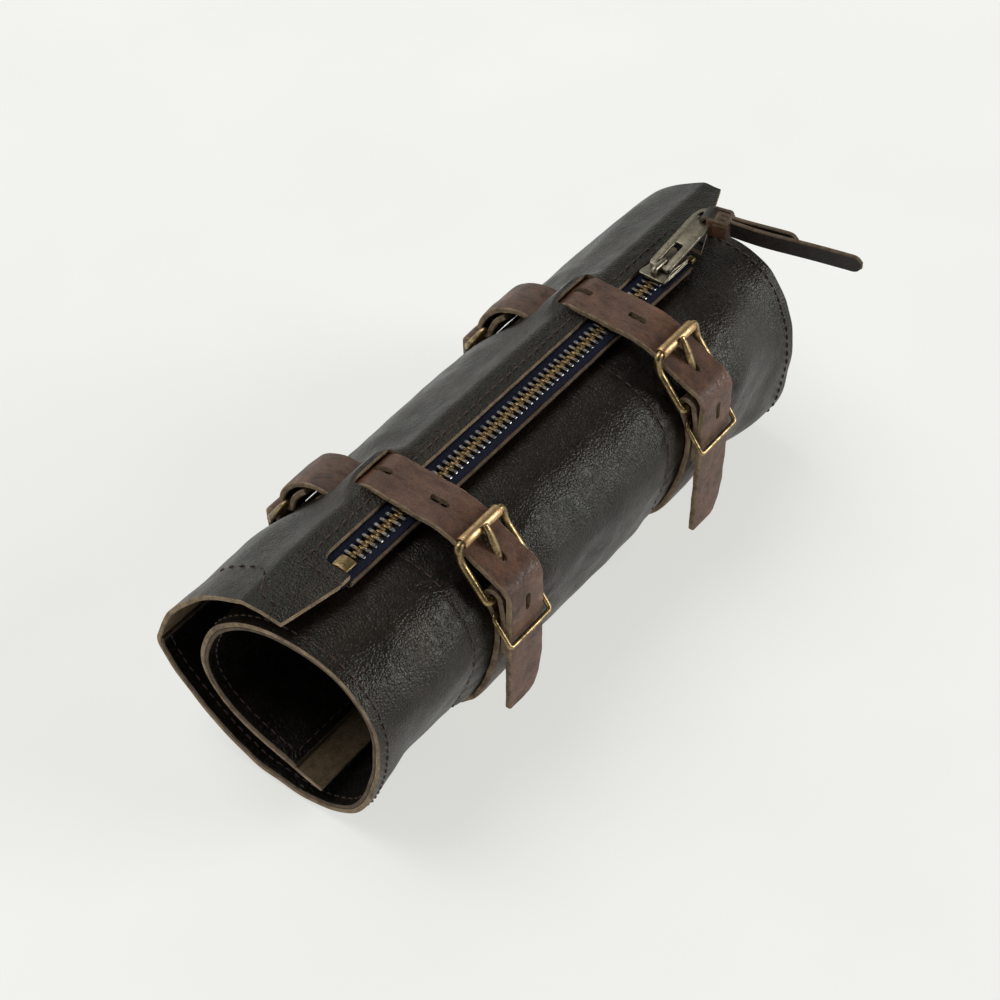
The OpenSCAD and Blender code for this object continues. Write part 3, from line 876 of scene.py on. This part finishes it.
def build_slider():
    """Two plates with side walls round the teeth, and a bridge that holds the tab's pin."""
    low, high = corners("zip_slider")
    length, half = high[0] - low[0], (high[1] - low[1]) / 2
    roof = TAPE_Z + 3.5
    waist = [(0, -half), (3, -half), (8, -half + 1.3), (13, -half + 1.0), (length - 2, -half + 0.3),
             (length, -half + 1.6)]
    outline = rounded(mirrored(waist), 1.4, True, 4)
    turn = Matrix.Translation((low[0], ZIP_Y, roof - 0.75))
    top = plate("top", [outline], 1.5, [grey_nickel], 0.4, turn)
    turn = Matrix.Translation((low[0], ZIP_Y, low[2] + 0.75))
    bottom = plate("bottom", [[(x, y * 0.9) for x, y in outline]], 1.5, [grey_nickel], 0.4, turn)
    post_top = TAB[2] + 2.0
    start, end = TAB[0] - 4.2, TAB[0] + 4.4
    arch = rounded([(start, ZIP_Y, roof - 1), (start, ZIP_Y, post_top - 0.6), (end, ZIP_Y, post_top - 0.9),
                    (end, ZIP_Y, roof - 1)], 1.6, False)
    bridge = wire("bridge", arch, 1.05, [grey_nickel], False)
    widen(bridge, 1, ZIP_Y)
    walls = []
    for side in (-1, 1):
        flange = [(low[0] + 1.5, ZIP_Y + side * (half - 0.8), roof - 1),
                  (high[0] - 2, ZIP_Y + side * (half - 0.9), roof - 1)]
        for depth in (0.0, 0.8):
            walls.append(wire("wall", [(x, y, z - depth) for x, y, z in flange], 0.55, [grey_nickel], False))
    nose = high[0] - 3.4
    wedge = wire("wedge", [(nose, ZIP_Y, low[2] + 1), (nose, ZIP_Y, roof - 1)], 1.3, [grey_nickel], False)
    dress(joined("slider_body", [top, bottom, bridge, wedge] + walls), "slider", "grey_nickel", "zip_slider")


def tab_matrix():
    """Places the tab's own plane: its origin on the hinge, its X along the tab."""
    tilt = asin(-joints["thong_swing"]["axis"][0])
    return Matrix.Translation(TAB) @ Matrix.Rotation(-tilt, 4, "Y")


def build_tab():
    thick, half = 1.8, 5.0
    eye = np.linalg.norm(pivot("thong_swing") - TAB)
    body = [(-0.6, -half), (eye - 1, -half), (eye + 3.0, -half + 1.0), (eye + half, -1.6)]
    outline = rounded(mirrored(body), 1.8, True, 5)
    slot = box_outline(1.3, -1.9, 14.4, 1.9, 0.8)
    hole = circle(eye, 0, 2.8)
    flat = plate("flat", [outline, slot, hole], thick, [grey_nickel], 0.3, tab_matrix())
    place = tab_matrix()
    ends = [tuple(place @ Vector((0, side * (half - 0.9), 0))) for side in (-1, 1)]
    pin = wire("pin", ends, 0.92, [grey_nickel], False)
    dress(joined("tab_plate", [flat, pin]), "pull_tab", "grey_nickel", "zip_pull_tab")


def round_tip(length, radius=3.6):
    """A tail that wavers a little and narrows to a round tip."""
    def warp(x, s):
        past = np.clip((s - length + radius) / radius, 0, 1)
        return x * np.sqrt(1 - 0.88 * past ** 2) + 0.35 * ripple(s, x * 0, 26, 21)
    return warp


def build_thong():
    """A knotted thong: a loop through the tab's eye, a wrapped knot, and two tails on edge."""
    eye = np.linalg.norm(pivot("thong_swing") - TAB)
    turn = radians(-79)
    base = tab_matrix() @ Matrix.Translation((eye, 0, 0)) @ Matrix.Rotation(turn, 4, "Z")
    on_edge = base @ Matrix(((0, 1, 0, 0), (0, 0, 1, 0), (1, 0, 0, 0), (0, 0, 0, 1)))
    flat = base @ Matrix(((0, 1, 0, 0), (1, 0, 0, 0), (0, 0, 1, 0), (0, 0, 0, 1)))
    slots = (thong_face, thong_face, dark_cut_edge)
    loop_half, loop_r = 3.0, 2.45
    loop = bend_path((0.2, 0.0), 90, [(loop_r * 1.2, -40), (4.5, -95), (9, 0)], 0.6)
    strap = []
    for flip in (1, -1):
        half_loop = loop.copy()
        half_loop[:, 1] *= flip
        half_loop[:, 2] *= flip
        strap.append(slab("loop", half_loop, np.linspace(-loop_half, loop_half, 7), 1.6, slots,
                          top=1.2 if flip > 0 else 0.4, bevel=0.3, turn=flat))
    for start, long, wide, half, tilt in ((4.2, 5.6, 3.4, 4.3, 0), (6.0, 3.0, 4.2, 3.0, 9)):
        turns = [(long, 0), (2.4, -90), (2 * wide - 3.1, 0), (2.4, -90)] * 2
        band = bend_path((start, wide), tilt, turns, 0.5)
        wrap = (strap_face, strap_back, dark_cut_edge)
        strap.append(slab("knot", band, np.linspace(-half, half, 9), 1.5, wrap,
                          top=1.0, bevel=0.4, turn=on_edge))
        core = bend_path((start - 0.8, 0), tilt, [(long + 1.6, 0)], 0.8)
        strap.append(slab("core", core, np.linspace(0.5 - half, half - 0.5, 9), 2 * wide - 1.2, wrap,
                          top=wide - 0.6, bevel=0.4, turn=on_edge))
    tails = ("long", -0.3, [(12, -2), (23, 5), (25, -4)]), ("short", 2.0, [(12, 3), (20, -5)])
    for name, start, bends in tails:
        path = bend_path((8.0, start), 0, bends, 1.2)
        strap.append(slab(name, path, np.linspace(-3.9, 3.9, 9), 1.9, slots, bevel=0.4, turn=on_edge,
                          warp=round_tip(path[-1, 3])))
    dress(joined("thong_knotted", strap), "thong", "strap_leather", "pull_thong")


# ---------------- straps
TAIL_BENDS = [(60, 0), (9, -68), (19.5, 8), (16, -30), (25, 0)]
SLIT_BENDS = [(5, -60), (5, 0), (4, 16), (7, 0), (8, 50)]
ARCH_BENDS = [(35, -82)]
RING_WRAP = [(9.0, -182), (15, 38)]
strap_flat = np.array([3.0, FLAP_TOP + STRAP_GAP + STRAP_T / 2])
tail_end = strap_flat - bend_path((0, 0), 90, TAIL_BENDS)[-1, :2]
TIP_BENDS = TAIL_BENDS + SLIT_BENDS + ARCH_BENDS + RING_WRAP
tip_path = bend_path(tail_end, 90, TIP_BENDS, 1.3)
TAIL_LONGER = {"near": 0.0, "far": 8.0}
DIVE = sum(length for length, _ in TAIL_BENDS)
FIRST_HOLE, HOLE_PITCH, HOLE_W = 54.0, 26.0, 2.8
HOLE_LENGTHS = 9.0, 13.5, 9.0, 9.0


def strap_edge(side_seed):
    """Cut edges that wander a little."""
    def warp(x, s):
        edge = abs(x) / STRAP_HALF
        wander = 1 + 0.016 * ripple(s, x * 0.02, 17, side_seed)
        return x * wander + 0.1 * edge ** 4 * ripple(s, x, 3.5, side_seed + 1)
    return warp


def strap_wear(x, s, seed):
    """A slightly crowned face with soft dents."""
    return -0.28 * (abs(x) / STRAP_HALF) ** 4 + 0.12 * ripple(x, s, 9, seed)


def hole_prism(distance, length, x):
    """A long hole through the tip strap, square to it."""
    outline = []
    for end in (1, -1):
        for k in range(9):
            angle = pi * k / 8 + (0 if end > 0 else pi)
            outline.append((HOLE_W / 2 * cos(angle),
                            end * (length - HOLE_W) / 2 + HOLE_W / 2 * sin(angle)))
    points, sides = prism(outline, -4, 4)
    (y, z), heading = on_path(tip_path, distance)
    turn = np.array(Matrix.Rotation(heading, 3, "X"))
    return points @ turn.T + np.array([x, y, z]), sides


def build_tip_strap(side, x):
    seed = 30 + SIDES.index(side)

    def dents(column, s):
        under_hump = 3.3 * np.exp(-((s - extra - DIVE - 9.5) / 5.5) ** 2)
        return strap_wear(column, s, seed) + under_hump

    extra = TAIL_LONGER[side]
    start = tail_end - [0, extra]
    path = bend_path(start, 90, [(extra, 0)] * (extra > 0) + TIP_BENDS, 1.3)
    strap = slab("strap_tip_" + side, path, np.linspace(-STRAP_HALF + 0.5, STRAP_HALF - 0.5, 15), STRAP_T,
                 STRAP_SLOTS, top=STRAP_T / 2, lift=dents, warp=strap_edge(seed), bevel=0.5,
                 turn=Matrix.Translation((x, 0, 0)))
    cut(strap, [hole_prism(FIRST_HOLE + k * HOLE_PITCH, length, x)
                for k, length in enumerate(HOLE_LENGTHS)])
    low = tail_end[1] - extra
    outside, over = STRAP_HALF + 1, STRAP_HALF + 4
    waste = [(-outside, -3), (-outside, 0.2), (2, 0.4), (4.5, 1.6), (7.6, 7.5), (STRAP_HALF + 0.3, 20),
             (over, 20), (over, -3)]
    slant, sides = prism([(x + a, low + b) for a, b in waste], -6, 6)
    slant = np.stack([slant[:, 0], tail_end[0] - slant[:, 2], slant[:, 1]], 1)
    cut(strap, [(slant, sides)])
    dress(strap, "case", "strap_leather", "tip_strap_" + side)


def arc_round(centre, radius, start, end, steps=10):
    return [centre + radius * np.array([cos(a), sin(a)])
            for a in np.radians(np.linspace(start, end, steps))]


def path_through(points, step=1.3):
    """A path whose points follow a smooth curve through the given ones."""
    points = np.array(points, float)
    ahead = np.vstack([points, 2 * points[-1] - points[-2]])
    ahead = np.vstack([2 * points[0] - points[1], ahead])
    fine = [points[0]]
    for k in range(1, len(ahead) - 2):
        a, b, c, d = ahead[k - 1:k + 3]
        count = max(1, round(np.linalg.norm(c - b) / step))
        for t in np.arange(1, count + 1) / count:
            fine.append(0.5 * (2 * b + (c - a) * t + (2 * a - 5 * b + 4 * c - d) * t ** 2
                               + (3 * b - a - 3 * c + d) * t ** 3))
    fine = np.array(fine)
    steps = np.diff(fine, axis=0)
    heading = np.unwrap(np.arctan2(steps[:, 1], steps[:, 0]))
    heading = np.concatenate([[heading[0]], (heading[1:] + heading[:-1]) / 2, [heading[-1]]])
    distance = np.concatenate([[0], np.cumsum(np.linalg.norm(steps, axis=1))])
    return np.column_stack([fine, heading, distance])


def buckle_path():
    """From the ring round the foot of the back, under the roll, and over the buckle's heel bar."""
    half = STRAP_GAP + STRAP_T / 2
    points = arc_round(RING_LOW, 2.9, 195, 10)
    for s in np.arange(AT_FOLD + 2, AT_TOP - 18, 4.0):
        points.append(on_path(panel, s, half)[0])
    points += arc_round(HEEL, 3.0, -2, 182)
    points += [HEEL + step for step in ([-3.9, -5], [-4.5, -10], [-4.6, -18], [-4.5, -27])]
    return path_through(points)


def build_buckle_strap(side, x):
    path = buckle_path()
    end = path[-1, 3]
    seed = 40 + SIDES.index(side)

    def skived(column, s):
        return strap_wear(column, s, seed) * (1 - smooth((s - end + 34) / 8))

    strap = slab("strap_buckle_" + side, path, np.linspace(-STRAP_HALF + 0.5, STRAP_HALF - 0.5, 13), 2.4,
                 STRAP_SLOTS, top=1.2, lift=skived, warp=strap_edge(seed), bevel=0.5,
                 turn=Matrix.Translation((x, 0, 0)))
    at_heel = float(path[np.argmin(np.hypot(path[:, 0] - HEEL[0], path[:, 1] - HEEL[1] - 3.0)), 3])
    (y, z), _ = on_path(path, at_heel)
    points, sides = prism(box_outline(-2.2, -5.6, 2.2, 5.6, 1.8), -3, 3)
    cut(strap, [(points + np.array([x, y, z]), sides)])
    dress(strap, "case", "strap_leather", "buckle_strap_" + side)


# ---------------- brass
def brass_loop(name, x, stations, half, corner, radius):
    """A closed wire that goes along the stations on one side and back on the other."""
    one = [(x - half, *p) for p in stations]
    other = [(x + half, *p) for p in stations[::-1]]
    return wire(name, rounded(one + other, corner), radius, [aged_brass])


def build_ring(side, x):
    ring = brass_loop("ring_" + side, x, [RING_LOW, RING_TOP], half=12.5, corner=4.0, radius=RING_R)
    dress(ring, "case", "old_brass", "back_ring_" + side)


def build_frame(side, x):
    knee = HEEL + [12.2, 14.6]
    bars = brass_loop("frame_wire_" + side, x, [HEEL, knee, ROLLER], half=13, corner=2.6, radius=1.6)
    dress(bars, "frame_" + side, "old_brass", "buckle_frame_" + side)


def build_roller(side, x):
    """A rolled tube with turned-in ends and the line where its edges meet."""
    profile = [(-10.6, 1.8), (-10.5, 2.25), (-10.1, 2.5), (-6, 2.44), (0, 2.4), (6, 2.45), (10.1, 2.5),
               (10.5, 2.25), (10.6, 1.8), (10.2, 1.69), (0, 1.69), (-10.2, 1.69)]
    around = 36
    verts, faces = [], []
    for k in range(around):
        angle = tau * k / around
        groove = 0.16 * exp(-((k - around * 0.7) / 0.8) ** 2)
        for at, radius in profile:
            r = radius - (groove if radius > 2.2 else 0)
            verts.append((x + at, ROLLER[0] + r * cos(angle), ROLLER[1] + r * sin(angle)))
    size = len(profile)
    for k in range(around):
        for j in range(size):
            a, b = k * size, (k + 1) % around * size
            faces.append([a + j, a + (j + 1) % size, b + (j + 1) % size, b + j])
    tube = piece("roller_tube_" + side, verts, faces, [roller_brass])
    dress(tube, "roller_" + side, "old_brass", "buckle_roller_" + side)


def build_prong(side, x):
    """A tongue that wraps the heel bar, tapers and bends over the roller at its tip."""
    reach = ROLLER - HEEL
    angle = degrees(atan2(reach[1], reach[0]) + asin(3.85 / np.linalg.norm(reach)))
    wrap = arc_round(HEEL, 2.75, angle - 300, angle - 62, 14)
    away = np.array([cos(radians(angle)), sin(radians(angle))])
    across = np.array([away[1], -away[0]])
    stem = [HEEL + away * d + across * off for d, off in
            ((4.2, 1.1), (8, 0.3), (13, 0.0), (18, 0.0), (22, 0.0), (24.5, 0.1), (26.3, 0.5))]
    path = path_through(wrap + stem, 0.9)
    total = path[-1, 3]
    widths = 1 + 0.35 * smooth((path[:, 3] - 12) / 8) - 0.5 * smooth((path[:, 3] - total + 9) / 9)
    tongue = wire("tongue_" + side, [(x, p[0], p[1]) for p in path], 1.1, [aged_brass], False,
                  widths.tolist())
    widen(tongue, 0, x)
    dress(tongue, "prong_" + side, "old_brass", "buckle_prong_" + side)


def build_keeper(side, x):
    stations = [KEEPER_IN, KEEPER_OUT]
    keeper = brass_loop("keeper_wire_" + side, x, stations, half=12, corner=1.8, radius=1.0)
    dress(keeper, "keeper_" + side, "old_brass", "strap_keeper_" + side)


# ---------------- stitches
def sheet_spot(x, s, out=0.0, along_x=False, inside=False):
    """A place on the sheet for a stitch: its point, direction and normal."""
    lift = float(body_lift(np.array(float(x)), np.array(float(s))))
    (y, z), heading = on_path(panel, s, lift + out)
    normal = np.array([0, -sin(heading), cos(heading)]) * (-1 if inside else 1)
    along = np.array([1.0, 0, 0]) if along_x else np.array([0, cos(heading), sin(heading)])
    return np.array([x, y, z]), along, normal


def build_threads():
    pitch = 4.4
    rows = [(end, s) for end in (NEAR_END + EDGE_ROW, FAR_END - EDGE_ROW)
            for s in np.arange(AT_FOLD + 4, AT_MARGIN - 4, pitch)]
    spots = [sheet_spot(end, s) for end, s in rows]
    spots += [sheet_spot(end, s, -LEATHER - LINING, inside=True) for end, s in rows]
    spots += [sheet_spot(x, AT_MARGIN - 3, -LEATHER - LINING, True, True)
              for x in np.arange(NEAR_END + 7, FAR_END - 5, pitch)]
    dress(stitches("edge_stitches", spots), "case", "thread", "edge_thread")
    spots = [sheet_spot(x - SEAM_SIDE, s, -0.1) for x in STRAP_X
             for s in np.arange(AT_FLOOR + 14, AT_TOP + 90, pitch)]
    dress(stitches("seam_stitches", spots), "case", "thread", "seam_thread")
    row = WINDOW_Y + 4.4 - FLAP_EDGE_Y
    spots = [sheet_spot(x, row, along_x=True) for x in np.arange(WINDOW_X[0] - 4, WINDOW_X[1] + 4, pitch)
             if strap_distance(x) > STRAP_HALF + 2]
    for x, start, end in ((WINDOW_X[0] - 5, 5, 21), (WINDOW_X[1] + 5, 7, 21)):
        spots += [sheet_spot(x, s) for s in np.arange(start, end, pitch)]
    turns = [(-121, 34), (-119.5, 15), (-124, 9), (-131, 4), (-132.5, -1), (-131.6, -9)]
    corner = np.array(rounded(turns, 2.5, False, 3))
    flap_top = panel[panel[:, 3] < AT_FOLD - 20]
    walked = np.concatenate([[0], np.cumsum(np.linalg.norm(np.diff(corner, axis=0), axis=1))])
    marks = [np.array([np.interp(at, walked, corner[:, k]) for k in range(2)])
             for at in np.arange(0, walked[-1], pitch / 2)]
    for a, middle, b in zip(marks[::2], marks[1::2], marks[2::2]):
        s = float(np.interp(middle[1], flap_top[:, 0], flap_top[:, 3]))
        point, _, normal = sheet_spot(middle[0], s)
        step = np.array([*(b - a) / np.linalg.norm(b - a), 0])
        step = step - normal * step.dot(normal)
        spots.append((point, step / np.linalg.norm(step), normal))
    dress(stitches("window_stitches", spots), "case", "thread", "window_thread")


# ---------------- everything
make_camera()
make_studio()
build_outer_panel()
build_liner()
build_brush_slots()
build_pocket()
build_tapes()
build_teeth()
build_stops()
build_slider()
build_tab()
build_thong()
for side_name, strap_at in zip(SIDES, STRAP_X):
    for build in (build_tip_strap, build_buckle_strap, build_ring, build_frame, build_roller,
                  build_prong, build_keeper):
        build(side_name, strap_at)
build_threads()
